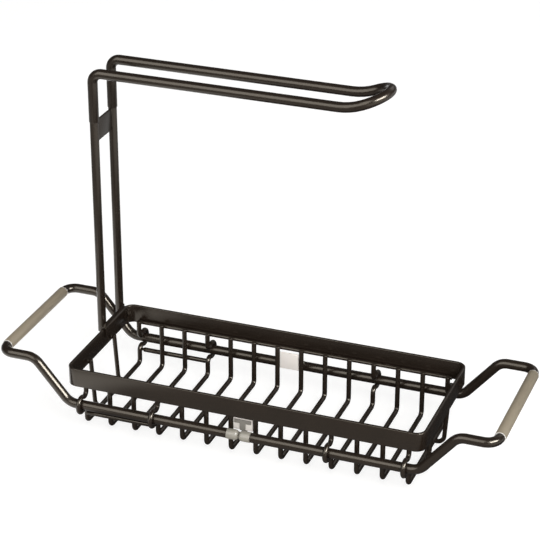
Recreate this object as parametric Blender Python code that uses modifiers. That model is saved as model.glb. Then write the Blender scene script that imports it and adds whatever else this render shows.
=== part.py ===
# Over-sink organizer: an open wire basket with a flat rim band, two arms that slide out
# sideways to bridge the sink, and a towel rack that hooks over one short side of the rim.
# Metres. +X runs along the length, towards the right arm, +Y to the rear, +Z up.
# The origin is under the middle of the basket, at the underside of the floor wires.

import math

import bmesh
import bpy
from mathutils import Matrix, Vector

mm = 0.001

# Clearances
gap = 0.3 * mm  # between pieces that lie against each other
sleeve_gap = 0.15 * mm  # between a rod and the soft piece pulled over it

# Roundness: sides of a wire or rod, steps of a turned piece, degrees in one step of a bend
wire_sides = 8
rod_sides = 12
turned_steps = 24
bend_step_deg = 15
quarter_turn_deg = 90

# Rim band
band_length = 301 * mm
band_depth = 122 * mm
band_height = 16 * mm
band_thickness = 2.4 * mm
band_corner_radius = 9 * mm
band_edge_radius = 0.6 * mm
basket_height = 56.5 * mm

# Wires of the basket
wire_diameter = 4 * mm
wire_count = 14
end_wire_inset = 14 * mm  # from the band's end to the outermost cross wire
wire_bend_radius = 4 * mm
wire_lap = 4.5 * mm  # how far the wire ends reach up behind the band
rim_wire_diameter = 3.2 * mm
rim_wire_inset = 11.5 * mm  # from the band's end to the wire's end
rim_wire_rise = 2 * mm  # centre above the band's lower edge
floor_wire_diameter = 3.7 * mm
floor_wire_spacing = 46 * mm
floor_wire_bend_radius = 6 * mm
riser_lean = 2.7 * mm  # how much the turned-up ends spread towards the band

# Loops that the rods slide in, on the end wires and on a second wire further in
second_loop_count = 4  # wires from the end to the second loop, both counted
rail_drop = 14.9 * mm  # rod centre below the band's lower edge
rail_offset = 9.3 * mm  # rod centre out from the upright wires
loop_fillet_radius = 4 * mm
guide_bar_drop = 9.4 * mm  # guide bar centre below the rail

# Centre stops: a light plate between the two middle wires, with a T-shaped rib on its outer face
stop_plate_thickness = 1.2 * mm
stop_plate_height = 15 * mm
rib_thickness = 1 * mm
rib_drop = 5.5 * mm  # top of the rib below the top of the plate
rib_head_margin = 1.1 * mm  # plate left free beside each end of the T's bar
rib_head_height = 3.1 * mm
rib_stem_length = 6.2 * mm
rib_stem_width = 5 * mm
rib_tip_width = 4.6 * mm
rib_edge_radius = 0.3 * mm

# Sliding arms
rod_diameter = 7.9 * mm
slope_inset = 3.5 * mm  # from the band's end in to the foot of the slope
slope_run = 30 * mm
handle_run = 29.5 * mm  # from the head of the slope to the centre of the handle
arm_rise = 35.8 * mm
slope_bend_radius = 13 * mm
handle_corner_radius = 10 * mm
grip_diameter = 9 * mm
grip_edge_radius = 0.5 * mm
cap_diameter = 8.5 * mm
cap_length = 9.6 * mm
cap_nose_radius = 3 * mm
cap_edge_radius = 0.4 * mm

# Towel rack
rack_spacing = 35.1 * mm
rack_middle_y = 39.3 * mm
leg_diameter = 7.1 * mm
leg_hang = 8 * mm  # how far the legs reach below the top of the band
leg_joint_height = 236.5 * mm
rack_tube_diameter = 8.2 * mm
bar_height = 278.2 * mm
shoulder_radius = 8 * mm
kink_reach = 214.75 * mm  # from the legs to where the bars turn up
kink_radius = 50 * mm  # less where the run to the tip is too short for it
tip_run = 26.3 * mm
tip_rise_deg = 22.5
plate_height = 18.2 * mm
plate_thickness = 2 * mm
plate_edge_radius = 0.5 * mm
clip_thickness = 1.4 * mm
clip_height = 9 * mm
clip_length = 42.5 * mm
clip_bend_radius = 1.6 * mm

# Places that follow from the sizes
wire_radius = wire_diameter / 2
rim_wire_radius = rim_wire_diameter / 2
floor_wire_radius = floor_wire_diameter / 2
rod_radius = rod_diameter / 2
leg_radius = leg_diameter / 2
half_length = band_length / 2
half_depth = band_depth / 2
inner_half_length = half_length - band_thickness
inner_half_depth = half_depth - band_thickness
band_bottom = basket_height - band_height
wire_pitch = (band_length - 2 * end_wire_inset) / (wire_count - 1)
rim_wire_y = inner_half_depth - gap - rim_wire_radius
wire_y = rim_wire_y - rim_wire_radius - gap - wire_radius
wire_top = band_bottom + wire_lap
rail_height = band_bottom - rail_drop
floor_wire_flat = floor_wire_radius * math.cos(math.pi / wire_sides)
floor_height = 2 * floor_wire_flat + gap + wire_radius
rail_y = wire_y + rail_offset
slope_foot = half_length - slope_inset
slope_head = slope_foot + slope_run
arm_reach = slope_head + handle_run
sleeve_radius = rod_radius + sleeve_gap
loop_radius = rod_radius + gap + wire_radius
rack_front_y = rack_middle_y - rack_spacing / 2
rack_rear_y = rack_middle_y + rack_spacing / 2
leg_x = -(half_length + gap + clip_thickness + gap + leg_radius)


# Scene

def clear_scene():
    for old in list(bpy.data.objects):
        bpy.data.objects.remove(old, do_unlink=True)


def new_collection(name):
    collection = bpy.data.collections.new(name)
    bpy.context.scene.collection.children.link(collection)
    return collection


def new_material(name, color, roughness, metallic):
    material = bpy.data.materials.new(name)
    material.use_nodes = True
    shader = material.node_tree.nodes["Principled BSDF"]
    shader.inputs["Base Color"].default_value = (*color, 1)
    shader.inputs["Roughness"].default_value = roughness
    shader.inputs["Metallic"].default_value = metallic
    return material


def new_empty(name, place, turn=0):
    empty = bpy.data.objects.new(name, None)
    empty.location = place
    empty.rotation_euler.z = turn
    parts.objects.link(empty)
    bpy.context.view_layer.update()
    return empty


def place_piece(name, data, place, turn=(0, 0, 0), body=None):
    piece = bpy.data.objects.new(name, data)
    piece.location = place
    piece.rotation_euler = turn
    piece.parent = body
    parts.objects.link(piece)
    return piece


# Shapes

def bent_path(corners, radii):
    """Points along a line through the corners, each inner corner rounded to its radius."""
    corners = [Vector(corner) for corner in corners]
    points = [corners[0]]
    for before, corner, after, radius in zip(corners, corners[1:], corners[2:], radii):
        toward = (corner - before).normalized()
        away = (after - corner).normalized()
        turn = toward.angle(away)
        side = (away - toward * toward.dot(away)).normalized()
        start = corner - toward * radius * math.tan(turn / 2)
        center = start + side * radius
        steps = math.ceil(math.degrees(turn) / bend_step_deg)
        for step in range(steps + 1):
            angle = turn * step / steps
            spot = center - side * radius * math.cos(angle) + toward * radius * math.sin(angle)
            if (spot - points[-1]).length > gap / 2:
                points.append(spot)
    points.append(corners[-1])
    return points


def arc(center, radius, start_deg, end_deg, step_deg=bend_step_deg):
    """Points on a circle in a plane, from one angle to the other."""
    steps = math.ceil(abs(end_deg - start_deg) / step_deg)
    angles = [math.radians(start_deg + (end_deg - start_deg) * step / steps) for step in range(steps + 1)]
    return [(center[0] + radius * math.cos(a), center[1] + radius * math.sin(a)) for a in angles]


def tube_curve(name, points, diameter, sides, material, tilt=0):
    curve = bpy.data.curves.new(name, "CURVE")
    curve.dimensions = "3D"
    curve.bevel_depth = diameter / 2
    curve.bevel_resolution = (sides - 4) // 2
    curve.use_fill_caps = True
    spline = curve.splines.new("POLY")
    spline.points.add(len(points) - 1)
    for knot, place in zip(spline.points, points):
        knot.co = (*place, 1)
        knot.tilt = tilt
    curve.materials.append(material)
    return curve


def flat_curve(name, outline, thickness, material):
    """A filled outline in the local XY plane, thickened both ways."""
    curve = bpy.data.curves.new(name, "CURVE")
    curve.dimensions = "2D"
    curve.fill_mode = "BOTH"
    curve.extrude = thickness / 2
    spline = curve.splines.new("POLY")
    spline.points.add(len(outline) - 1)
    for knot, (x, y) in zip(spline.points, outline):
        knot.co = (x, y, 0, 1)
    spline.use_cyclic_u = True
    curve.materials.append(material)
    return curve


def turned_mesh(name, profile, closed, material):
    """A profile of (radius, height) pairs as edges, ready for a Screw modifier."""
    mesh = bpy.data.meshes.new(name)
    edges = [(i, i + 1) for i in range(len(profile) - 1)]
    if closed:
        edges.append((len(profile) - 1, 0))
    mesh.from_pydata([(radius, 0, height) for radius, height in profile], edges, [])
    mesh.materials.append(material)
    return mesh


def add_screw(piece):
    screw = piece.modifiers.new("Turn", "SCREW")
    screw.steps = turned_steps
    screw.render_steps = turned_steps
    screw.use_merge_vertices = True
    screw.merge_threshold = sleeve_gap / 10
    screw.use_smooth_shade = True


def add_bevel(piece, width):
    weld = piece.modifiers.new("Weld", "WELD")
    weld.merge_threshold = sleeve_gap / 10
    bevel = piece.modifiers.new("Edges", "BEVEL")
    bevel.width = width
    bevel.segments = 2
    bevel.limit_method = "ANGLE"


def box_mesh(name, size, material):
    mesh = bpy.data.meshes.new(name)
    shape = bmesh.new()
    bmesh.ops.create_cube(shape, size=1, matrix=Matrix.Diagonal((*size, 1)))
    shape.to_mesh(mesh)
    shape.free()
    mesh.materials.append(material)
    return mesh


# Rim band: a closed strip on edge, thickened inwards

def add_rim_band():
    corner_x = half_length - band_corner_radius
    corner_y = half_depth - band_corner_radius
    outline = []
    for turns, (sign_x, sign_y) in enumerate(((1, 1), (-1, 1), (-1, -1), (1, -1))):
        start = turns * quarter_turn_deg
        center = (sign_x * corner_x, sign_y * corner_y)
        outline += arc(center, band_corner_radius, start, start + quarter_turn_deg)
    curve = flat_curve("rim_band", outline, band_height, metal)
    curve.fill_mode = "NONE"
    band = place_piece("rim_band", curve, (0, 0, band_bottom + band_height / 2))
    wall = band.modifiers.new("Wall", "SOLIDIFY")
    wall.thickness = band_thickness
    wall.offset = -1
    add_bevel(band, band_edge_radius)


# Basket wires

def add_rim_wires():
    reach = half_length - rim_wire_inset
    ends = [(-reach, 0, 0), (reach, 0, 0)]
    curve = tube_curve("rim_wire", ends, rim_wire_diameter, wire_sides, metal)
    height = band_bottom + rim_wire_rise
    place_piece("rim_wire_front", curve, (0, -rim_wire_y, height))
    place_piece("rim_wire_rear", curve, (0, rim_wire_y, height))


def loop_outline():
    """(out, up) points of the bulge round a rod, from its upper end to its lower one.

    out is measured from the upright wire, up from the rod's centre."""
    reach = loop_radius + loop_fillet_radius
    inward = rail_offset - loop_fillet_radius
    rise = math.sqrt(reach**2 - inward**2)
    meet_deg = math.degrees(math.atan2(rise, inward))
    fillet = arc((inward, rise), loop_fillet_radius, 0, meet_deg - 180, 2 * bend_step_deg)
    loop = arc((0, 0), loop_radius, meet_deg, 360 - meet_deg)
    last = arc((inward, -rise), loop_fillet_radius, 180 - meet_deg, 0, 2 * bend_step_deg)
    return [(rail_offset - inside, up) for inside, up in fillet + loop[1:-1] + last]


def add_cross_wires():
    corners = [(0, -wire_y, wire_top), (0, -wire_y, floor_height), (0, wire_y, floor_height), (0, wire_y, wire_top)]
    plain = bent_path(corners, [wire_bend_radius] * 2)
    side = [Vector((0, -wire_y - out, rail_height + up)) for out, up in loop_outline()]
    mirrored = [Vector((0, -spot.y, spot.z)) for spot in reversed(side)]
    looped = plain[:1] + side + plain[1:-1] + mirrored + plain[-1:]
    plain_curve = tube_curve("cross_wire", plain, wire_diameter, wire_sides, metal)
    looped_curve = tube_curve("looped_wire", looped, wire_diameter, wire_sides, metal)
    for number in range(1, wire_count + 1):
        from_end = min(number, wire_count + 1 - number)
        curve = looped_curve if from_end in (1, second_loop_count) else plain_curve
        place_piece(f"cross_wire_{number:02d}", curve, (wire_x(number), 0, 0))


def wire_x(number):
    return (number - (wire_count + 1) / 2) * wire_pitch


def add_floor_wires():
    top_x = inner_half_length - gap - floor_wire_radius
    foot_x = top_x - riser_lean
    corners = [(-top_x, 0, wire_top), (-foot_x, 0, floor_wire_flat), (foot_x, 0, floor_wire_flat), (top_x, 0, wire_top)]
    points = bent_path(corners, [floor_wire_bend_radius] * 2)
    # half a side's turn puts a flat side underneath
    curve = tube_curve("floor_wire", points, floor_wire_diameter, wire_sides, metal, math.pi / wire_sides)
    place_piece("floor_wire_front", curve, (0, -floor_wire_spacing / 2, 0))
    place_piece("floor_wire_rear", curve, (0, floor_wire_spacing / 2, 0))


def add_guide_bars():
    """A bar lies against the plain wires between the first two loops of the left side."""
    start = wire_x(1) + wire_radius + gap
    end = wire_x(second_loop_count) - wire_radius - gap
    points = [(start, 0, 0), (end, 0, 0)]
    curve = tube_curve("guide_bar", points, wire_diameter, wire_sides, metal)
    bar_y = wire_y + wire_diameter + gap
    height = rail_height - guide_bar_drop
    place_piece("guide_bar_front", curve, (0, -bar_y, height))
    place_piece("guide_bar_rear", curve, (0, bar_y, height))


def add_centre_stops():
    half_plate = wire_pitch / 2 - wire_radius - gap
    head = half_plate - rib_head_margin
    stem = rib_stem_width / 2
    tip = rib_tip_width / 2
    neck_z = -rib_head_height
    tip_z = neck_z - rib_stem_length
    right = [(head, 0), (head, neck_z), (stem, neck_z), (tip, tip_z)]
    outline = right + [(-x, z) for x, z in reversed(right)]
    rib_curve = flat_curve("centre_rib", outline, rib_thickness, soft)
    plate_size = (2 * half_plate, stop_plate_thickness, stop_plate_height)
    plate_mesh = box_mesh("centre_plate", plate_size, light)
    top = band_bottom + rim_wire_rise - rim_wire_radius - gap
    rib_y = wire_y + stop_plate_thickness / 2 + gap + rib_thickness / 2
    for place, side in (("front", -1), ("rear", 1)):
        rib = place_piece(f"centre_rib_{place}", rib_curve, (0, side * rib_y, top - rib_drop), (math.pi / 2, 0, 0))
        add_bevel(rib, rib_edge_radius)
        plate = place_piece(f"centre_plate_{place}", plate_mesh, (0, side * wire_y, top - stop_plate_height / 2))
        add_bevel(plate, rib_edge_radius)


# Sliding arms, drawn for the right side and turned half round for the left

def arm_rod_points():
    inner_x = gap + cap_length + gap
    front = [(inner_x, -rail_y, 0), (slope_foot, -rail_y, 0), (slope_head, -rail_y, arm_rise), (arm_reach, -rail_y, arm_rise)]
    rear = [(x, -y, z) for x, y, z in reversed(front)]
    slope_radii = [slope_bend_radius] * 2
    corner_radii = [handle_corner_radius] * 2
    return bent_path(front + rear, slope_radii + corner_radii + slope_radii)


def grip_profile():
    """(radius, height) round a thin sleeve, down its outer side and up its bore."""
    half = rail_y - handle_corner_radius - gap
    outer = grip_diameter / 2
    edge = grip_edge_radius
    top = arc((outer - edge, half - edge), edge, 90, 0, 45)
    bottom = arc((outer - edge, edge - half), edge, 0, -90, 45)
    return top + bottom + [(sleeve_radius, -half), (sleeve_radius, half)]


def cap_profile():
    """(radius, height) from the middle of the nose down the side to the face on the rod's end."""
    outer = cap_diameter / 2
    nose = arc((outer - cap_nose_radius, -cap_nose_radius), cap_nose_radius, 90, 0)
    edge = arc((outer - cap_edge_radius, cap_edge_radius - cap_length), cap_edge_radius, 0, -90, 45)
    return [(0, 0)] + nose + edge + [(0, -cap_length)]


def add_arms():
    rod_curve = tube_curve("arm_rod", arm_rod_points(), rod_diameter, rod_sides, metal)
    grip_mesh = turned_mesh("grip", grip_profile(), True, soft)
    cap_mesh = turned_mesh("end_cap", cap_profile(), False, soft)
    half_step = math.pi / turned_steps
    for side, turn in (("right", 0), ("left", math.pi)):
        arm = new_empty(f"{side}_arm", (0, 0, rail_height), turn)
        place_piece(f"{side}_arm_rod", rod_curve, (0, 0, 0), body=arm)
        # half a step's turn puts a flat facet underneath
        grip_turn = (-math.pi / 2, half_step, 0)
        grip = place_piece(f"{side}_grip", grip_mesh, (arm_reach, 0, arm_rise), grip_turn, arm)
        add_screw(grip)
        near = -1 if side == "right" else 1
        for name, sign in (("front", near), ("rear", -near)):
            cap = place_piece(
                f"{side}_cap_{name}", cap_mesh, (gap, sign * rail_y, 0), (0, -math.pi / 2, 0), arm
            )
            add_screw(cap)


# Towel rack, placed from an empty on the band's top edge between the legs

def add_rack():
    rack = new_empty("towel_rack", (leg_x, rack_middle_y, basket_height))
    add_rack_tube(rack)
    add_rack_legs(rack)
    add_rack_plate(rack)
    add_rack_clip(rack)


def add_rack_tube(rack):
    foot = leg_joint_height + gap - basket_height
    bars = bar_height - basket_height
    lift = tip_run * math.tan(math.radians(tip_rise_deg))
    half = rack_spacing / 2
    tip = (kink_reach + tip_run, -half, bars + lift)
    front = [(0, -half, foot), (0, -half, bars), (kink_reach, -half, bars), tip]
    rear = [(x, -y, z) for x, y, z in reversed(front)]
    kink_room = (math.hypot(tip_run, lift) - half) / math.tan(math.radians(tip_rise_deg) / 2)
    kink = min(kink_radius, kink_room)
    radii = [shoulder_radius, kink, half, half, kink, shoulder_radius]
    curve = tube_curve("rack_upper_tube", bent_path(front + rear, radii), rack_tube_diameter, rod_sides, metal)
    place_piece("rack_upper_tube", curve, (0, 0, 0), body=rack)


def add_rack_legs(rack):
    points = [(0, 0, -leg_hang), (0, 0, leg_joint_height - basket_height)]
    curve = tube_curve("rack_leg", points, leg_diameter, rod_sides, metal)
    place_piece("rack_leg_front", curve, (0, -rack_spacing / 2, 0), body=rack)
    place_piece("rack_leg_rear", curve, (0, rack_spacing / 2, 0), body=rack)


def add_rack_plate(rack):
    width = rack_spacing - leg_diameter - 2 * gap
    mesh = box_mesh("rack_cross_plate", (plate_thickness, width, plate_height), metal)
    height = leg_joint_height - basket_height - plate_height / 2
    plate = place_piece("rack_cross_plate", mesh, (0, 0, height), body=rack)
    add_bevel(plate, plate_edge_radius)


def add_rack_clip(rack):
    """An upside-down channel over the band's top edge, as far back as the wall stays straight."""
    outer_x = leg_radius + gap
    inner_x = outer_x + 2 * clip_thickness + 2 * gap + band_thickness
    top = gap + clip_thickness
    bottom = top - clip_height
    left = arc((outer_x + clip_bend_radius, top - clip_bend_radius), clip_bend_radius, 180, 90, 30)
    right = arc((inner_x - clip_bend_radius, top - clip_bend_radius), clip_bend_radius, 90, 0, 30)
    bore = [(inner_x - clip_thickness, bottom), (inner_x - clip_thickness, gap)]
    bore += [(outer_x + clip_thickness, gap), (outer_x + clip_thickness, bottom)]
    outline = [(outer_x, bottom)] + left + right + [(inner_x, bottom)] + bore
    curve = flat_curve("rack_clip", outline, clip_length, metal)
    clip_y = half_depth - band_corner_radius - clip_length / 2 - rack_middle_y
    place_piece("rack_clip", curve, (0, clip_y, 0), (math.pi / 2, 0, 0), rack)


clear_scene()
parts = new_collection("sink_organizer")
metal = new_material("coated_metal", (0.036, 0.027, 0.022), 0.35, 0.6)
soft = new_material("soft_plastic", (0.33, 0.29, 0.235), 0.55, 0)
light = new_material("light_plastic", (0.62, 0.58, 0.54), 0.5, 0)
add_rim_band()
add_rim_wires()
add_cross_wires()
add_floor_wires()
add_guide_bars()
add_centre_stops()
add_arms()
add_rack()
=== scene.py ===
# Over-sink organizer: wire basket with a flat rim band, two sliding arms and a lift-off towel rack.
# Metres, +X along the length, +Y to the rear, +Z up.
import math
import bpy
from mathutils import Matrix, Vector


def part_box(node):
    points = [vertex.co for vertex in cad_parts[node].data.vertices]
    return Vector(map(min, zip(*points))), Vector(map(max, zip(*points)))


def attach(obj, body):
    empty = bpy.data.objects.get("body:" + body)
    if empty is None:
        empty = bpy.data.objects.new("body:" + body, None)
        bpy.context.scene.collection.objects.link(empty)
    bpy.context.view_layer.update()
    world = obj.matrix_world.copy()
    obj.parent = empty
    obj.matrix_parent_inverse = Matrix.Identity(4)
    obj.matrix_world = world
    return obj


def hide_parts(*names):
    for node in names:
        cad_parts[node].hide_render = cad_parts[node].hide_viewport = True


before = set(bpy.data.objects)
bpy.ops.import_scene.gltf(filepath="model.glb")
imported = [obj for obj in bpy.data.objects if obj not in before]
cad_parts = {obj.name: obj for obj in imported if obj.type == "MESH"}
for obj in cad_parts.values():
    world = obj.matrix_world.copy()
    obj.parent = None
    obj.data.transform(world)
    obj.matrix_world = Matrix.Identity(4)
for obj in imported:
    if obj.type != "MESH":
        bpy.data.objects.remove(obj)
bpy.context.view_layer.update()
print("frame loaded:", len(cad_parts), "nodes")

mm = 0.001


def deselectAll():
    if bpy.context.mode != "OBJECT":
        bpy.ops.object.mode_set(mode="OBJECT")
    bpy.ops.object.select_all(action="DESELECT")


def hexColor(text):
    # sRGB hex to the linear values that the shader wants
    channels = [int(text[i:i + 2], 16) / 255 for i in (1, 3, 5)]
    linear = [c / 12.92 if c <= 0.04045 else ((c + 0.055) / 1.055) ** 2.4 for c in channels]
    return (*linear, 1)


def addNode(tree, kind, values=None, links=None, **settings):
    # one node with its settings, its fixed values and what feeds it
    node = tree.nodes.new(kind)
    for name, value in settings.items():
        setattr(node, name, value)
    for socket, value in (values or {}).items():
        node.inputs[socket].default_value = value
    for socket, (source, output) in (links or {}).items():
        tree.links.new(source.outputs[output], node.inputs[socket])
    return node


def addMath(tree, operation, *parts):
    # each part is a fixed number, or a node and its output
    values = {i: part for i, part in enumerate(parts) if not isinstance(part, tuple)}
    links = {i: part for i, part in enumerate(parts) if isinstance(part, tuple)}
    return addNode(tree, "ShaderNodeMath", values, links, operation=operation)


# camera, from the photograph's perspective
cameraView = {
    "place": (0.50215, -1.32909, 0.84045),
    "azimuthDeg": 20.601,
    "tiltDeg": 63.818,
    "rollDeg": 0.082,
    "lens": 134.19,
    "sensor": 36,
}
cameraData = bpy.data.cameras.new("camera")
cameraData.lens = cameraView["lens"]
cameraData.sensor_width = cameraView["sensor"]
camera = bpy.data.objects.new("camera", cameraData)
camera.location = cameraView["place"]
turnZ = Matrix.Rotation(math.radians(cameraView["azimuthDeg"]), 4, "Z")
turnX = Matrix.Rotation(math.radians(cameraView["tiltDeg"]), 4, "X")
turnRoll = Matrix.Rotation(math.radians(cameraView["rollDeg"]), 4, "Z")
camera.rotation_euler = (turnZ @ turnX @ turnRoll).to_euler()
bpy.context.scene.collection.objects.link(camera)
bpy.context.scene.camera = camera
bpy.context.scene.view_settings.view_transform = "Standard"

# soft studio light: direction from the object, distance, width and height in metres, brightness,
# and whether it lights the body colour, is seen in the gloss, or both
studioLights = {
    "frontSoftbox": {
        "toward": (-0.32, -0.73, 0.58),
        "distance": 2.4,
        "size": (2.2, 2.1),
        "brightness": 3.7,
        "body": False,
        "gloss": True,
    },
    "rightWindow": {
        "toward": (0.773, -0.362, 0.521),
        "distance": 1.9,
        "size": (1.5, 0.56),
        "brightness": 42,
        "body": False,
        "gloss": True,
    },
    "keySoftbox": {
        "toward": (0.5, -0.6, 0.62),
        "distance": 2.4,
        "size": (1.8, 1.8),
        "brightness": 4.4,
        "body": True,
        "gloss": False,
    },
    "lowSoftbox": {
        "toward": (0.05, -1, 0.25),
        "distance": 2.4,
        "size": (2.0, 0.8),
        "brightness": 2.4,
        "body": True,
        "gloss": False,
    },
    "rearFill": {
        "toward": (0.25, 0.80, 0.55),
        "distance": 2.4,
        "size": (1.6, 1.0),
        "brightness": 0.8,
        "body": True,
        "gloss": True,
    },
}
aimPoint = Vector((0, 0, 0.06))


def addSoftbox(name, toward, distance, size, brightness, body, gloss):
    lamp = bpy.data.lights.new(name, "AREA")
    lamp.shape = "RECTANGLE"
    lamp.size, lamp.size_y = size
    lamp.energy = brightness * math.pi * size[0] * size[1]
    softbox = bpy.data.objects.new(name, lamp)
    direction = Vector(toward).normalized()
    softbox.location = aimPoint + direction * distance
    softbox.rotation_euler = (-direction).to_track_quat("-Z", "Y").to_euler()
    softbox.visible_diffuse, softbox.visible_glossy = body, gloss
    bpy.context.scene.collection.objects.link(softbox)


for name, settings in studioLights.items():
    addSoftbox(name, **settings)

# the room: white where it is seen straight or through something clear, dim in the gloss, and plain fill light
roomLight = {"fill": 0.42, "gloss": 0.08}
world = bpy.data.worlds.new("room")
bpy.context.scene.world = world
world.use_nodes = True
room = world.node_tree
room.nodes.clear()


def addSeenWhite(tree, rayKind):
    return addMath(tree, "MAXIMUM", (rayKind, "Is Camera Ray"), (rayKind, "Is Transmission Ray"))


rayKind = addNode(room, "ShaderNodeLightPath")
seenWhite = addSeenWhite(room, rayKind)
glossPart = addMath(room, "MULTIPLY", (rayKind, "Is Glossy Ray"), roomLight["gloss"])
fillPart = addMath(room, "MULTIPLY", (rayKind, "Is Diffuse Ray"), roomLight["fill"])
unseen = addMath(room, "MAXIMUM", (glossPart, 0), (fillPart, 0))
strength = addMath(room, "MAXIMUM", (seenWhite, 0), (unseen, 0))
roomWhite = addNode(room, "ShaderNodeBackground", {"Color": (1, 1, 1, 1)}, {"Strength": (strength, 0)})
addNode(room, "ShaderNodeOutputWorld", links={"Surface": (roomWhite, 0)})

# plain pale floor just under the floor wires; it keeps the shadow. In the gloss it shows a painted reflection:
# painted shade right behind the object, dim in front, and painted pools of light to the near left and far to the
# right
floorSheet = {
    "size": 8,
    "drop": 0.5 * mm,
    "color": "#a8a7a5",
    "lift": 0.75,
    "bounce": 0.3,
}
floorPaintedReflection = {
    "rear": {"toward": (0, 1, 0), "start": 0.16, "end": 0.26, "from": 0.04, "to": 0.5},
    "front": {"toward": (0, -1, 0), "start": 0.04, "end": 0.09, "from": 0, "to": 0.42},
    "nearLeft": {"toward": (-1, 0, 0), "start": 0.13, "end": 0.165, "from": 0, "to": 1.5},
    "farLeft": {"toward": (-0.75, -0.66, 0), "start": 0.28, "end": 0.38, "from": 1, "to": 0.25},
    "right": {"toward": (1, -0.35, 0), "start": 0.28, "end": 0.42, "from": 0, "to": 1.2},
}
deselectAll()
bpy.ops.mesh.primitive_plane_add(size=floorSheet["size"], location=(0, 0, -floorSheet["drop"]))
floor = bpy.context.object
floor.name = "floor"
bpy.ops.object.transform_apply(location=True, rotation=True, scale=True)
floorPaper = bpy.data.materials.new("seamless paper")
floorPaper.use_nodes = True
paper = floorPaper.node_tree
paper.nodes.clear()
rayKind = addNode(paper, "ShaderNodeLightPath")
seenWhite = addSeenWhite(paper, rayKind)
lift = addMath(paper, "MULTIPLY", (seenWhite, 0), floorSheet["lift"])
bounce = addMath(paper, "MULTIPLY", (rayKind, "Is Diffuse Ray"), floorSheet["bounce"])
glow = addMath(paper, "MAXIMUM", (lift, 0), (bounce, 0))
paperGlow = addNode(paper, "ShaderNodeEmission", {"Color": (1, 1, 1, 1)}, {"Strength": (glow, 0)})
paperBody = addNode(paper, "ShaderNodeBsdfDiffuse", {"Color": hexColor(floorSheet["color"])})
paperSum = addNode(paper, "ShaderNodeAddShader", links={0: (paperBody, 0), 1: (paperGlow, 0)})
place = addNode(paper, "ShaderNodeTexCoord")


def addFloorFade(settings):
    # a smooth change of level across the floor in one direction, for the painted light and shade seen in the gloss
    along = addNode(
        paper, "ShaderNodeVectorMath", {1: settings["toward"]}, {0: (place, "Object")}, operation="DOT_PRODUCT")
    levels = {
        "From Min": settings["start"],
        "From Max": settings["end"],
        "To Min": settings["from"],
        "To Max": settings["to"],
    }
    return addNode(paper, "ShaderNodeMapRange", levels, {"Value": (along, "Value")})


rear, front, nearLeft, farLeft, right = (addFloorFade(settings) for settings in floorPaintedReflection.values())
frontSum = addMath(paper, "ADD", (front, "Result"), (nearLeft, "Result"))
frontPart = addMath(paper, "MULTIPLY", (frontSum, 0), (farLeft, "Result"))
brightPart = addMath(paper, "MAXIMUM", (frontPart, 0), (right, "Result"))
glossPart = addMath(paper, "MAXIMUM", (brightPart, 0), (rear, "Result"))
# glossy rays see a painted reflection of a lit floor, with painted shade round the object
paintedReflectionPaper = addNode(paper, "ShaderNodeEmission", {"Color": (1, 1, 1, 1)}, {"Strength": (glossPart, 0)})
paperMix = addNode(
    paper, "ShaderNodeMixShader", links={0: (rayKind, "Is Glossy Ray"), 1: (paperSum, 0), 2: (paintedReflectionPaper, 0)})
addNode(paper, "ShaderNodeOutputMaterial", links={"Surface": (paperMix, 0)})
floor.data.materials.append(floorPaper)
print("camera, lights and floor placed")


# materials
def newFinish(name):
    finish = bpy.data.materials.new(name)
    finish.use_nodes = True
    tree = finish.node_tree
    return finish, tree, tree.nodes["Principled BSDF"], addNode(tree, "ShaderNodeTexCoord")


def addNoise(tree, place, size, detail):
    return addNode(tree, "ShaderNodeTexNoise", {"Scale": 1 / size, "Detail": detail}, {"Vector": (place, "Object")})


def setSkin(tree, shader, settings, cloud, grain, roughBy):
    # two tones that drift into each other, uneven roughness and a fine relief
    tint = addNode(tree, "ShaderNodeMix", links={"Factor": (cloud, "Fac")}, data_type="RGBA")
    tint.inputs[6].default_value = hexColor(settings["base"])
    tint.inputs[7].default_value = hexColor(settings["shade"])
    tree.links.new(tint.outputs[2], shader.inputs["Base Color"])
    low, high = settings["roughness"]
    gloss = addNode(tree, "ShaderNodeMapRange", {"To Min": low, "To Max": high}, {"Value": (roughBy, "Fac")})
    tree.links.new(gloss.outputs["Result"], shader.inputs["Roughness"])
    relief = {"Strength": settings["relief"], "Distance": settings["grainDepth"]}
    bump = addNode(tree, "ShaderNodeBump", relief, {"Height": (grain, "Fac")})
    tree.links.new(bump.outputs["Normal"], shader.inputs["Normal"])
    shader.inputs["IOR"].default_value = settings["ior"]


powderCoat = {
    "base": "#1d1712",
    "shade": "#281f19",
    "sheen": "#fff5e4",
    "roughness": (0.2, 0.3),
    "cloudSize": 35 * mm,
    "cloudDetail": 3,
    "grainSize": 1.6 * mm,  # real orange peel is about half this, too fine to show at this size
    "grainDetail": 2,
    "grainDepth": 0.004 * mm,
    "relief": 0.5,
    "ior": 1.5,
}


def makePowderCoat(settings):
    # polyester powder coat baked on steel: a smooth dark satin skin with a faint orange peel
    finish, tree, shader, place = newFinish("powder coated steel")
    cloud = addNoise(tree, place, settings["cloudSize"], settings["cloudDetail"])
    peel = addNoise(tree, place, settings["grainSize"], settings["grainDetail"])
    setSkin(tree, shader, settings, cloud, peel, cloud)
    shader.inputs["Specular Tint"].default_value = hexColor(settings["sheen"])
    return finish


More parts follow.
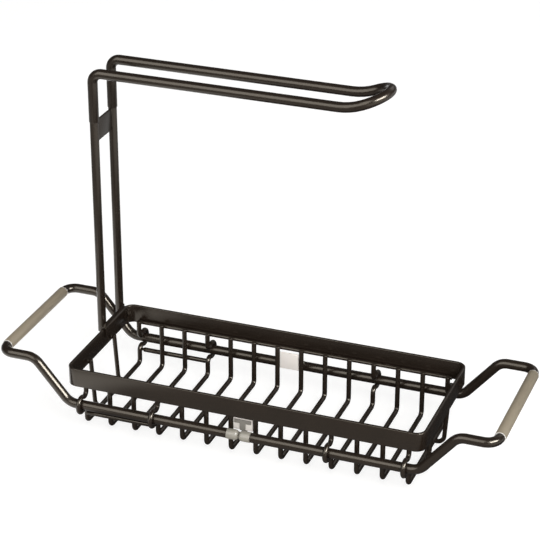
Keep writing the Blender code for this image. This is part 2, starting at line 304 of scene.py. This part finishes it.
softGrip = {
    "base": "#968a74",
    "shade": "#8b7f6b",
    "roughness": (0.5, 0.62),
    "cloudSize": 12 * mm,
    "cloudDetail": 2,
    "grainSize": 1.2 * mm,  # a fine mould texture, drawn coarser than the real 0.3 mm so that it shows
    "grainDetail": 3,
    "grainDepth": 0.03 * mm,
    "relief": 0.4,
    "ior": 1.49,
}
capPlastic = dict(softGrip, base="#9c978c", shade="#918c81", roughness=(0.34, 0.44), grainDepth=0.015 * mm)
platePlastic = dict(softGrip, base="#f8f1ea", shade="#f2ebe4", roughness=(0.38, 0.48), grainDepth=0.015 * mm)
ribPlastic = dict(softGrip, base="#8f8a83", shade="#87827b", roughness=(0.42, 0.52), grainDepth=0.015 * mm)
# near-white end rings: a painted highlight standing for the grip sleeve's end faces lit from the front
paintedHighlightRing = dict(softGrip, base="#f4f1ec", shade="#ece8e2", roughness=(0.3, 0.38), grainDepth=0.01 * mm)


def makeMouldedPlastic(name, settings):
    # injection moulded plastic with a fine spark-eroded texture: matte, slightly uneven in tone
    finish, tree, shader, place = newFinish(name)
    cloud = addNoise(tree, place, settings["cloudSize"], settings["cloudDetail"])
    grain = addNoise(tree, place, settings["grainSize"], settings["grainDetail"])
    setSkin(tree, shader, settings, cloud, grain, grain)
    return finish


coatedSteel = makePowderCoat(powderCoat)
gripSleeve = makeMouldedPlastic("soft touch elastomer sleeve", softGrip)
capNylon = makeMouldedPlastic("moulded nylon", capPlastic)
plateNylon = makeMouldedPlastic("pale moulded nylon", platePlastic)
ribNylon = makeMouldedPlastic("grey moulded nylon", ribPlastic)
paintedHighlightRingFinish = makeMouldedPlastic("white painted highlight plastic", paintedHighlightRing)
print("materials made")

# modelling tools for rods and wires: a round disc is pushed along its route;
# straight runs are extruded and bends are spun
rodMaking = {
    "wireSides": 16,
    "rodSides": 32,
    "bendStepDeg": 6,
    "fewestBendSteps": 2,
    "shortestRun": 0.02 * mm,
    "capEdge": 0.35 * mm,
}
shapeMaking = {
    "mergeDistance": 0.01 * mm,
    "bevelSegments": 3,
    "bevelFromDeg": 50,
    "sheetBevelFromDeg": 60,
    "smoothBelowDeg": 40,
}


def startRod(name, place, heading, diameter, sides):
    deselectAll()
    turn = Vector(heading).to_track_quat("Z", "Y").to_euler()
    bpy.ops.mesh.primitive_circle_add(
        vertices=sides, radius=diameter / 2, fill_type="NGON", location=place, rotation=turn)
    rod = bpy.context.object
    rod.name = rod.data.name = name
    bpy.ops.object.transform_apply(location=True, rotation=True, scale=True)
    bpy.ops.object.mode_set(mode="EDIT")
    bpy.ops.mesh.select_all(action="SELECT")
    return rod


def runBy(step):
    bpy.ops.mesh.extrude_region_move(TRANSFORM_OT_translate={"value": step})


def bendRound(center, axis, turn):
    # the operator counts its angle the other way round
    steps = max(rodMaking["fewestBendSteps"], round(math.degrees(turn) / rodMaking["bendStepDeg"]))
    bpy.ops.mesh.spin(steps=steps, angle=-turn, center=center, axis=axis)


def selectNothing(kind):
    bpy.ops.object.mode_set(mode="EDIT")
    bpy.ops.mesh.select_mode(type=kind)
    bpy.ops.mesh.select_all(action="DESELECT")
    bpy.ops.object.mode_set(mode="OBJECT")


def selectFaces(piece, wanted):
    selectNothing("FACE")
    for face in piece.data.polygons:
        face.select = wanted(face)
    bpy.ops.object.mode_set(mode="EDIT")


def selectEdges(piece, wanted):
    selectNothing("EDGE")
    places = piece.data.vertices
    for edge in piece.data.edges:
        edge.select = wanted(*(places[i].co for i in edge.vertices))
    bpy.ops.object.mode_set(mode="EDIT")


def closeShape():
    bpy.ops.mesh.select_all(action="SELECT")
    bpy.ops.mesh.remove_doubles(threshold=shapeMaking["mergeDistance"])
    bpy.ops.mesh.normals_make_consistent(inside=False)
    bpy.ops.object.mode_set(mode="OBJECT")


def softenEdges(piece, width, angleDeg=shapeMaking["bevelFromDeg"]):
    bevel = piece.modifiers.new("edges", "BEVEL")
    bevel.width = width
    bevel.segments = shapeMaking["bevelSegments"]
    bevel.limit_method = "ANGLE"
    bevel.angle_limit = math.radians(angleDeg)
    bevel.harden_normals = False
    applyModifier(piece, bevel)


def applyModifier(piece, modifier):
    bpy.context.view_layer.objects.active = piece
    bpy.ops.object.modifier_apply(modifier=modifier.name)


def thickenInwards(piece, thickness):
    wall = piece.modifiers.new("wall", "SOLIDIFY")
    wall.thickness = thickness
    wall.offset = -1
    wall.use_even_offset = True
    applyModifier(piece, wall)


def smoothShape(piece):
    deselectAll()
    piece.select_set(True)
    bpy.context.view_layer.objects.active = piece
    bpy.ops.object.shade_smooth_by_angle(angle=math.radians(shapeMaking["smoothBelowDeg"]))


def finishPiece(piece, finish, slot, body, *nodes):
    piece.data.materials.clear()
    piece.data.materials.append(finish)
    smoothShape(piece)
    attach(piece, body)
    if nodes:
        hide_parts(*nodes)
    return piece


def rodThrough(name, corners, radii, diameter, sides):
    # a rod along straight lines through the corners, each inner corner bent to its radius
    corners = [Vector(corner) for corner in corners]
    rod = startRod(name, corners[0], corners[1] - corners[0], diameter, sides)
    here = corners[0]
    for before, corner, after, radius in zip(corners, corners[1:], corners[2:], radii):
        toward = (corner - before).normalized()
        away = (after - corner).normalized()
        turn = toward.angle(away)
        side = (away - toward * toward.dot(away)).normalized()
        start = corner - toward * radius * math.tan(turn / 2)
        if (start - here).length > rodMaking["shortestRun"]:
            runBy(start - here)
        bendRound(start + side * radius, toward.cross(away).normalized(), turn)
        here = corner + away * radius * math.tan(turn / 2)
    runBy(corners[-1] - here)
    closeShape()
    softenEdges(rod, rodMaking["capEdge"])
    return rod


def copyPiece(piece, name, shift=(0, 0, 0), turn=0):
    # its own mesh, moved or turned about the vertical, and its place written into the mesh
    deselectAll()
    piece.select_set(True)
    bpy.context.view_layer.objects.active = piece
    bpy.ops.object.duplicate(linked=False)
    copy = bpy.context.object
    copy.name = copy.data.name = name
    copy.rotation_euler.z = turn
    copy.location = shift
    bpy.ops.object.transform_apply(location=True, rotation=True, scale=True)
    return copy


# the basket's sizes, shared by its pieces
basket = {
    "length": 301 * mm,
    "depth": 122 * mm,
    "height": 56.5 * mm,
    "bandHeight": 16 * mm,
    "bandWall": 2.4 * mm,
    "bandCorner": 9 * mm,
    "bandCornerSteps": 12,
    "bandEdge": 0.6 * mm,
}
bandBottom = basket["height"] - basket["bandHeight"]
halfLength = basket["length"] / 2
halfDepth = basket["depth"] / 2
innerHalfLength = halfLength - basket["bandWall"]
innerHalfDepth = halfDepth - basket["bandWall"]
gap = 0.3 * mm


def makeRimBand():
    # a block of the outer size, opened at top and bottom,
    # its upright edges rounded and its wall thickened inwards
    deselectAll()
    middle = bandBottom + basket["bandHeight"] / 2
    size = (basket["length"], basket["depth"], basket["bandHeight"])
    bpy.ops.mesh.primitive_cube_add(size=1, location=(0, 0, middle), scale=size)
    band = bpy.context.object
    band.name = band.data.name = "rimBand"
    bpy.ops.object.transform_apply(location=True, rotation=True, scale=True)
    selectFaces(band, lambda face: abs(face.normal.z) > 0.5)
    bpy.ops.mesh.delete(type="ONLY_FACE")
    selectEdges(band, lambda first, second: abs(first.z - second.z) > basket["bandHeight"] / 2)
    bpy.ops.mesh.bevel(offset=basket["bandCorner"], segments=basket["bandCornerSteps"], affect="EDGES")
    bpy.ops.mesh.select_all(action="SELECT")
    bpy.ops.mesh.normals_make_consistent(inside=False)
    bpy.ops.object.mode_set(mode="OBJECT")
    thickenInwards(band, basket["bandWall"])
    softenEdges(band, basket["bandEdge"], shapeMaking["sheetBevelFromDeg"])
    return finishPiece(band, coatedSteel, "coated_metal", "basket", "rim_band")


makeRimBand()
print("rim band made")

wires = {
    "diameter": 4 * mm,
    "count": 14,
    "endInset": 14 * mm,
    "bend": 4 * mm,
    "lap": 4.5 * mm,
    "rimDiameter": 3.2 * mm,
    "rimInset": 11.5 * mm,
    "rimRise": 2 * mm,
    "floorDiameter": 3.7 * mm,
    "floorSpacing": 46 * mm,
    "floorBend": 6 * mm,
    "riserLean": 2.7 * mm,
    "secondLoop": 4,
    "railDrop": 14.9 * mm,
    "railOffset": 9.3 * mm,
    "rodDiameter": 7.9 * mm,
    "filletRadius": 4 * mm,
    "guideDrop": 9.4 * mm,
}
wireRadius = wires["diameter"] / 2
wirePitch = (basket["length"] - 2 * wires["endInset"]) / (wires["count"] - 1)
rimWireY = innerHalfDepth - gap - wires["rimDiameter"] / 2
wireY = rimWireY - wires["rimDiameter"] / 2 - gap - wireRadius
wireTop = bandBottom + wires["lap"]
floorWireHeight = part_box("floor_wire_front")[0].z + wires["floorDiameter"] / 2
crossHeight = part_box("cross_wire_02")[0].z + wireRadius
railHeight = bandBottom - wires["railDrop"]
railY = wireY + wires["railOffset"]


def wireX(number):
    return (number - (wires["count"] + 1) / 2) * wirePitch


def makeCrossWires():
    corners = [(0, -wireY, wireTop), (0, -wireY, crossHeight), (0, wireY, crossHeight), (0, wireY, wireTop)]
    plain = rodThrough("crossWire", corners, [wires["bend"]] * 2, wires["diameter"], rodMaking["wireSides"])
    looped = makeLoopedWire()
    for number in range(1, wires["count"] + 1):
        fromEnd = min(number, wires["count"] + 1 - number)
        pattern = looped if fromEnd in (1, wires["secondLoop"]) else plain
        wire = copyPiece(pattern, f"crossWire{number:02d}", (wireX(number), 0, 0))
        finishPiece(wire, coatedSteel, "coated_metal", "basket", f"cross_wire_{number:02d}")
    bpy.data.objects.remove(plain)
    bpy.data.objects.remove(looped)


def makeLoopedWire():
    # down the front, out round the rod and back, along the floor, and the same at the rear
    loopRadius = wires["rodDiameter"] / 2 + gap + wireRadius
    fillet = wires["filletRadius"]
    inward = wires["railOffset"] - fillet
    rise = math.sqrt((loopRadius + fillet) ** 2 - inward ** 2)
    filletTurn = math.pi - math.atan2(rise, inward)
    loopTurn = 2 * filletTurn
    bendRadius = wires["bend"]
    wire = startRod("loopedWire", (0, -wireY, wireTop), (0, 0, -1), wires["diameter"], rodMaking["wireSides"])
    runBy((0, 0, railHeight + rise - wireTop))
    bendRound((0, -wireY - fillet, railHeight + rise), (-1, 0, 0), filletTurn)
    bendRound((0, -railY, railHeight), (1, 0, 0), loopTurn)
    bendRound((0, -wireY - fillet, railHeight - rise), (-1, 0, 0), filletTurn)
    runBy((0, 0, crossHeight + bendRadius - railHeight + rise))
    bendRound((0, -wireY + bendRadius, crossHeight + bendRadius), (1, 0, 0), math.pi / 2)
    runBy((0, 2 * (wireY - bendRadius), 0))
    bendRound((0, wireY - bendRadius, crossHeight + bendRadius), (1, 0, 0), math.pi / 2)
    runBy((0, 0, railHeight - rise - crossHeight - bendRadius))
    bendRound((0, wireY + fillet, railHeight - rise), (-1, 0, 0), filletTurn)
    bendRound((0, railY, railHeight), (1, 0, 0), loopTurn)
    bendRound((0, wireY + fillet, railHeight + rise), (-1, 0, 0), filletTurn)
    runBy((0, 0, wireTop - railHeight - rise))
    closeShape()
    softenEdges(wire, rodMaking["capEdge"])
    return wire


def makeLongWires():
    reach = halfLength - wires["rimInset"]
    topX = innerHalfLength - gap - wires["floorDiameter"] / 2
    footX = topX - wires["riserLean"]
    guideStart = wireX(1) + wireRadius + gap
    guideEnd = wireX(wires["secondLoop"]) - wireRadius - gap
    guideY = wireY + wires["diameter"] + gap
    rimHeight = bandBottom + wires["rimRise"]
    guideHeight = railHeight - wires["guideDrop"]
    sides = rodMaking["wireSides"]
    for side, sign in (("Front", -1), ("Rear", 1)):
        y = sign * rimWireY
        ends = [(-reach, y, rimHeight), (reach, y, rimHeight)]
        rimWire = rodThrough(f"rimWire{side}", ends, [], wires["rimDiameter"], sides)
        finishPiece(rimWire, coatedSteel, "coated_metal", "basket", f"rim_wire_{side.lower()}")
        y = sign * wires["floorSpacing"] / 2
        corners = [
            (-topX, y, wireTop), (-footX, y, floorWireHeight), (footX, y, floorWireHeight), (topX, y, wireTop)]
        floorWire = rodThrough(f"floorWire{side}", corners, [wires["floorBend"]] * 2, wires["floorDiameter"], sides)
        finishPiece(floorWire, coatedSteel, "coated_metal", "basket", f"floor_wire_{side.lower()}")
        y = sign * guideY
        ends = [(guideStart, y, guideHeight), (guideEnd, y, guideHeight)]
        guideBar = rodThrough(f"guideBar{side}", ends, [], wires["diameter"], sides)
        finishPiece(guideBar, coatedSteel, "coated_metal", "basket", f"guide_bar_{side.lower()}")


makeCrossWires()
makeLongWires()
print("basket wires made")

arms = {
    "reach": 206.5 * mm,
    "slopeFoot": 147 * mm,
    "slopeHead": 177 * mm,
    "rise": 35.8 * mm,
    "slopeBend": 13 * mm,
    "cornerBend": 10 * mm,
    "capLength": 9.6 * mm,
}


def makeArmRods():
    inner = gap + arms["capLength"] + gap
    high = railHeight + arms["rise"]
    front = [(inner, -railY, railHeight), (arms["slopeFoot"], -railY, railHeight),
             (arms["slopeHead"], -railY, high), (arms["reach"], -railY, high)]
    rear = [(x, -y, z) for x, y, z in reversed(front)]
    slope = [arms["slopeBend"]] * 2
    bends = slope + [arms["cornerBend"]] * 2 + slope
    rod = rodThrough("rightArmRod", front + rear, bends, wires["rodDiameter"], rodMaking["rodSides"])
    left = copyPiece(rod, "leftArmRod", turn=math.pi)
    finishPiece(rod, coatedSteel, "coated_metal", "right_arm", "right_arm_rod")
    finishPiece(left, coatedSteel, "coated_metal", "left_arm", "left_arm_rod")


turning = {
    "leastResize": 0.0001,
    "edgeShare": 0.3,  # where the middle point of a rounded edge lies, from the sharp corner
}


def turnedPiece(name, place, heading, stations, sides):
    # a disc pushed along its axis and resized at each station of (distance, radius)
    place, heading = Vector(place), Vector(heading)
    piece = startRod(name, place + heading * stations[0][0], heading, 2 * stations[0][1], sides)
    for (before, radiusBefore), (after, radiusAfter) in zip(stations, stations[1:]):
        runBy(heading * (after - before))
        size = radiusAfter / radiusBefore
        if abs(size - 1) > turning["leastResize"]:
            bpy.ops.transform.resize(value=(size, size, size), center_override=place + heading * after)
    closeShape()
    return piece


grip = {
    "radius": 4.5 * mm,
    "bore": 4.1 * mm,
    "half": 51.8 * mm,
    "ring": 0.5 * mm,
    "ringLip": 0.25 * mm,
    "sleeveLip": 0.125 * mm,
    "sides": 48,
}


def makeSleeve(name, start, end, lip):
    # a tube round the rod with rounded lips, its bore bridged from end to end
    radius, bore = grip["radius"], grip["bore"]
    corner = lip * turning["edgeShare"]
    rise = [(start, bore), (start, radius - lip), (start + corner, radius - corner), (start + lip, radius)]
    stations = rise + [(start + end - d, r) for d, r in reversed(rise)]
    sleeve = turnedPiece(name, (arms["reach"], 0, railHeight + arms["rise"]), (0, 1, 0), stations, grip["sides"])
    selectFaces(sleeve, lambda face: len(face.vertices) > 4)
    bpy.ops.mesh.delete(type="ONLY_FACE")
    bpy.ops.mesh.select_mode(type="EDGE")
    bpy.ops.mesh.select_all(action="DESELECT")
    bpy.ops.mesh.select_non_manifold()
    bpy.ops.mesh.bridge_edge_loops()
    closeShape()
    return sleeve


def makeGrips():
    # the sleeve lies between two pale end rings, whose near white is a painted highlight for the sleeve's lit end
    # faces
    half, ring = grip["half"], grip["ring"]
    sleeve = makeSleeve("rightGrip", -half + ring, half - ring, grip["sleeveLip"])
    left = copyPiece(sleeve, "leftGrip", turn=math.pi)
    finishPiece(sleeve, gripSleeve, "grip_plastic", "right_arm", "right_grip")
    finishPiece(left, gripSleeve, "grip_plastic", "left_arm", "left_grip")
    front = makeSleeve("rightRingFront", -half, -half + ring, grip["ringLip"])
    rear = copyPiece(front, "rightRingRear", (0, 2 * half - ring, 0))
    for pattern, name in ((front, "leftRingRear"), (rear, "leftRingFront")):
        finishPiece(copyPiece(pattern, name, turn=math.pi), paintedHighlightRingFinish, "light_plastic", "left_arm")
    for piece in (front, rear):
        finishPiece(piece, paintedHighlightRingFinish, "light_plastic", "right_arm")


caps = {
    "radius": 4.25 * mm,
    "nose": 3 * mm,
    "noseSteps": 8,
    "edge": 0.4 * mm,
    "sides": 40,
}


def makeCaps():
    # a plug with a rounded nose, butting the rod's end
    nose, radius, edge, length = caps["nose"], caps["radius"], caps["edge"], arms["capLength"]
    stations = [(0, radius - nose)]
    for step in range(1, caps["noseSteps"] + 1):
        angle = math.pi / 2 * step / caps["noseSteps"]
        stations.append((nose - nose * math.cos(angle), radius - nose + nose * math.sin(angle)))
    corner = edge * turning["edgeShare"]
    stations += [(length - edge, radius), (length - corner, radius - corner), (length, radius - edge)]
    for side, sign in (("Front", -1), ("Rear", 1)):
        cap = turnedPiece(f"rightCap{side}", (gap, sign * railY, railHeight), (1, 0, 0), stations, caps["sides"])
        other = "Rear" if side == "Front" else "Front"
        left = copyPiece(cap, f"leftCap{other}", turn=math.pi)
        finishPiece(cap, capNylon, "grip_plastic", "right_arm", f"right_cap_{side.lower()}")
        finishPiece(left, capNylon, "grip_plastic", "left_arm", f"left_cap_{other.lower()}")


makeArmRods()
makeGrips()
makeCaps()
print("arms made")

rack = {
    "spacing": 35.1 * mm,
    "middleY": 39.3 * mm,
    "legDiameter": 7.1 * mm,
    "legHang": 8 * mm,
    "legPlug": 0.6 * mm,  # how far the leg is pushed into the tube's lower end, from the joint
    "jointHeight": 236.5 * mm,
    "tubeDiameter": 8.2 * mm,
    "barHeight": 278.2 * mm,
    "shoulder": 8 * mm,
    "kinkReach": 214.75 * mm,
    "kinkBend": 50 * mm,
    "tipRun": 26.3 * mm,
    "tipRiseDeg": 22.5,
}
legX = sum(corner.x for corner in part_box("rack_leg_front")) / 2


def makeRackTubes():
    half = rack["spacing"] / 2
    foot = rack["jointHeight"] + gap
    lift = rack["tipRun"] * math.tan(math.radians(rack["tipRiseDeg"]))
    kink = legX + rack["kinkReach"]
    front = [(legX, -half, foot), (legX, -half, rack["barHeight"]), (kink, -half, rack["barHeight"]),
             (kink + rack["tipRun"], -half, rack["barHeight"] + lift)]
    rear = [(x, -y, z) for x, y, z in reversed(front)]
    route = [(x, y + rack["middleY"], z) for x, y, z in front + rear]
    bends = [rack["shoulder"], rack["kinkBend"], half, half, rack["kinkBend"], rack["shoulder"]]
    tube = rodThrough("rackUpperTube", route, bends, rack["tubeDiameter"], rodMaking["rodSides"])
    finishPiece(tube, coatedSteel, "coated_metal", "towel_rack", "rack_upper_tube")
    for side, sign in (("Front", -1), ("Rear", 1)):
        y = rack["middleY"] + sign * half
        ends = [(legX, y, basket["height"] - rack["legHang"]), (legX, y, rack["jointHeight"] + rack["legPlug"])]
        leg = rodThrough(f"rackLeg{side}", ends, [], rack["legDiameter"], rodMaking["rodSides"])
        finishPiece(leg, coatedSteel, "coated_metal", "towel_rack", f"rack_leg_{side.lower()}")


makeRackTubes()
print("rack tubes made")


def addBlock(name, low, high):
    # a block between two corners, ready to be shaped
    deselectAll()
    low, high = Vector(low), Vector(high)
    bpy.ops.mesh.primitive_cube_add(size=1, location=(low + high) / 2, scale=high - low)
    block = bpy.context.object
    block.name = block.data.name = name
    bpy.ops.object.transform_apply(location=True, rotation=True, scale=True)
    return block


plateMaking = {
    "edge": 0.5 * mm,
    "clipWall": 1.4 * mm,
    "clipBend": 1.6 * mm,
    "clipBendSteps": 8,
    "clipEdge": 0.3 * mm,
}


def makeCrossPlate():
    # flat bar with rolled edges, set between the legs
    plate = addBlock("rackCrossPlate", *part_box("rack_cross_plate"))
    softenEdges(plate, plateMaking["edge"])
    finishPiece(plate, coatedSteel, "coated_metal", "towel_rack", "rack_cross_plate")


def makeClip():
    # sheet bent over two long edges into a channel that sits on the band's top edge
    low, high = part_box("rack_clip")
    clip = addBlock("rackClip", low, high)
    selectFaces(clip, lambda face: face.normal.z < -0.5 or abs(face.normal.y) > 0.5)
    bpy.ops.mesh.delete(type="ONLY_FACE")
    selectEdges(clip, lambda first, second: first.z > high.z - gap and second.z > high.z - gap
                and abs(first.y - second.y) > gap)
    bpy.ops.mesh.bevel(offset=plateMaking["clipBend"], segments=plateMaking["clipBendSteps"], affect="EDGES")
    bpy.ops.object.mode_set(mode="OBJECT")
    dropLooseEdges(clip)
    thickenInwards(clip, plateMaking["clipWall"])
    softenEdges(clip, plateMaking["clipEdge"], shapeMaking["sheetBevelFromDeg"])
    finishPiece(clip, coatedSteel, "coated_metal", "towel_rack", "rack_clip")


def dropLooseEdges(piece):
    selectNothing("EDGE")
    bpy.ops.object.mode_set(mode="EDIT")
    bpy.ops.mesh.select_all(action="SELECT")
    bpy.ops.mesh.delete_loose(use_verts=True, use_edges=True, use_faces=False)
    bpy.ops.mesh.normals_make_consistent(inside=False)
    bpy.ops.object.mode_set(mode="OBJECT")


makeCrossPlate()
makeClip()

stops = {
    "headHeight": 3.1 * mm,
    "stemWidth": 5 * mm,
    "tipWidth": 4.6 * mm,
    "edge": 0.28 * mm,
    "bevelFromDeg": 25,
}


def makeCentreStops():
    # a pale plate between the two middle wires and a T-shaped rib on its outer face
    halfStem = stops["stemWidth"] / 2
    for side in ("front", "rear"):
        plate = addBlock(f"{side}CentrePlate", *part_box(f"centre_plate_{side}"))
        softenEdges(plate, stops["edge"])
        finishPiece(plate, plateNylon, "light_plastic", "basket", f"centre_plate_{side}")
        low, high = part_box(f"centre_rib_{side}")
        neck = high.z - stops["headHeight"]
        rib = addBlock(f"{side}CentreRib", (low.x, low.y, neck), high)
        for x in (-halfStem, halfStem):
            bpy.ops.object.mode_set(mode="EDIT")
            bpy.ops.mesh.select_all(action="SELECT")
            bpy.ops.mesh.bisect(plane_co=(x, 0, 0), plane_no=(1, 0, 0))
            bpy.ops.object.mode_set(mode="OBJECT")
        selectFaces(rib, lambda face: face.normal.z < -0.5 and abs(face.center.x) < halfStem)
        bpy.ops.mesh.extrude_region_move(TRANSFORM_OT_translate={"value": (0, 0, low.z - neck)})
        narrower = stops["tipWidth"] / stops["stemWidth"]
        bpy.ops.transform.resize(value=(narrower, 1, 1), center_override=(0, 0, low.z))
        bpy.ops.object.mode_set(mode="OBJECT")
        softenEdges(rib, stops["edge"], stops["bevelFromDeg"])
        finishPiece(rib, ribNylon, "grip_plastic", "basket", f"centre_rib_{side}")


makeCentreStops()
print("plates, clip and stops made")

welds = {
    "rough": 0.12,
    "seed": 7,
    "turnStep": 2.4,
    "floorSpot": (1.9 * mm, 1.9 * mm, 1 * mm),
    "rimSpot": (1.8 * mm, 0.9 * mm, 1.5 * mm),
    "bandSpot": (2.6 * mm, 0.6 * mm, 1.1 * mm),
    "guideSpot": (1.5 * mm, 1.5 * mm, 1.3 * mm),
    "guideInset": 1.6 * mm,
    "guideLift": 0.9 * mm,
    "riserSpot": (0.7 * mm, 1.6 * mm, 1.9 * mm),
    "riserDrop": 2 * mm,
    "ripple": 0.9 * mm,
    "fewestRipples": 4,
    "rippleHigh": 1.08,
    "rippleLow": 0.9,
    "seamEnd": 0.45,
    "seamSides": 12,
    "plateSeam": 0.8 * mm,
    "plateSeamInset": 0.2 * mm,
    "plateSeamEnds": (0.6 * mm, 0.4 * mm),
    "clipSeam": 0.55 * mm,
    "clipSeamOut": 0.25 * mm,
    "clipSeamSpread": 1.3 * mm,
    "clipSeamEnds": (0.4 * mm, 1.6 * mm),
}


def makeWeldSpot():
    # a small uneven nugget, one unit in radius
    deselectAll()
    bpy.ops.mesh.primitive_ico_sphere_add(subdivisions=2, radius=1, location=(0, 0, 0))
    spot = bpy.context.object
    spot.name = spot.data.name = "weldSpot"
    bpy.ops.object.mode_set(mode="EDIT")
    bpy.ops.mesh.select_all(action="SELECT")
    bpy.ops.transform.vertex_random(offset=welds["rough"], uniform=0, normal=1, seed=welds["seed"])
    bpy.ops.object.mode_set(mode="OBJECT")
    return spot


def makeWeldSeam(name, start, end, radius):
    # a rippled bead laid along a seam
    start, end = Vector(start), Vector(end)
    length = (end - start).length
    steps = max(welds["fewestRipples"], round(length / welds["ripple"]))
    stations = [(0, radius * welds["seamEnd"])]
    for step in range(1, steps):
        share = welds["rippleHigh"] if step % 2 else welds["rippleLow"]
        stations.append((length * step / steps, radius * share))
    stations.append((length, radius * welds["seamEnd"]))
    return turnedPiece(name, start, (end - start).normalized(), stations, welds["seamSides"])


def joinPieces(name, pieces):
    deselectAll()
    for piece in pieces:
        piece.select_set(True)
    bpy.context.view_layer.objects.active = pieces[0]
    bpy.ops.object.join()
    joined = bpy.context.object
    joined.name = joined.data.name = name
    return joined


def copySpots(pattern, name, places):
    # places of (centre, size); each copy is turned a different way about its own upright
    spots = []
    for number, (centre, size) in enumerate(places):
        deselectAll()
        pattern.select_set(True)
        bpy.context.view_layer.objects.active = pattern
        bpy.ops.object.duplicate(linked=False)
        spot = bpy.context.object
        spot.rotation_euler.z = number * welds["turnStep"]
        bpy.ops.object.transform_apply(location=False, rotation=True, scale=False)
        spot.scale = size
        spot.location = centre
        bpy.ops.object.transform_apply(location=True, rotation=True, scale=True)
        spots.append(spot)
    return joinPieces(name, spots)


def makeBasketWelds():
    # where the wires cross each other, and where they meet the band
    pattern = makeWeldSpot()
    crossing = (floorWireHeight + wires["floorDiameter"] / 2 + crossHeight - wireRadius) / 2
    rimY = wireY + wireRadius + gap / 2
    bandY = innerHalfDepth - gap / 2
    bandX = innerHalfLength - gap / 2
    rimHeight = bandBottom + wires["rimRise"]
    guideHeight = railHeight - wires["guideDrop"]
    guideEnds = (wireX(1) + welds["guideInset"], wireX(wires["secondLoop"]) - welds["guideInset"])
    spots = {"floorWelds": [], "rimWireWelds": [], "bandWelds": [], "guideWelds": []}
    for sign in (-1, 1):
        floorY = sign * wires["floorSpacing"] / 2
        for number in range(1, wires["count"] + 1):
            x = wireX(number)
            spots["floorWelds"].append(((x, floorY, crossing), welds["floorSpot"]))
            spots["rimWireWelds"].append(((x, sign * rimY, rimHeight), welds["rimSpot"]))
            if number % 2:
                place = (x + wirePitch / 2, sign * bandY, rimHeight)
                spots["bandWelds"].append((place, welds["bandSpot"]))
        for number in range(2, wires["secondLoop"]):
            spots["guideWelds"].append(((wireX(number), sign * rimY, guideHeight), welds["rimSpot"]))
        for x in guideEnds:
            place = (x, sign * (rimY + welds["guideLift"]), guideHeight + welds["guideLift"])
            spots["guideWelds"].append((place, welds["guideSpot"]))
        for endSign in (-1, 1):
            place = (endSign * bandX, floorY, wireTop - welds["riserDrop"])
            spots["bandWelds"].append((place, welds["riserSpot"]))
    for name, places in spots.items():
        finishPiece(copySpots(pattern, name, places), coatedSteel, "coated_metal", "basket")
    bpy.data.objects.remove(pattern)


def makeRackWelds():
    # upright beads at the corners of the cross plate, and on both sides of each leg where it meets the clip
    seams = []
    low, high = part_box("rack_cross_plate")
    inset = welds["plateSeamInset"]
    lower, upper = welds["plateSeamEnds"]
    for y in (low.y - gap / 2, high.y + gap / 2):
        for x in (low.x + inset, high.x - inset):
            seams.append(makeWeldSeam("seam", (x, y, low.z + lower), (x, y, high.z - upper), welds["plateSeam"]))
    low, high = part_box("rack_clip")
    x = low.x - welds["clipSeamOut"]
    lower, upper = welds["clipSeamEnds"]
    for sign in (-1, 1):
        legY = rack["middleY"] + sign * rack["spacing"] / 2
        for y in (legY - welds["clipSeamSpread"], legY + welds["clipSeamSpread"]):
            seams.append(makeWeldSeam("seam", (x, y, low.z + lower), (x, y, high.z - upper), welds["clipSeam"]))
    finishPiece(joinPieces("rackWelds", seams), coatedSteel, "coated_metal", "towel_rack")


makeBasketWelds()
makeRackWelds()
print("welds made")
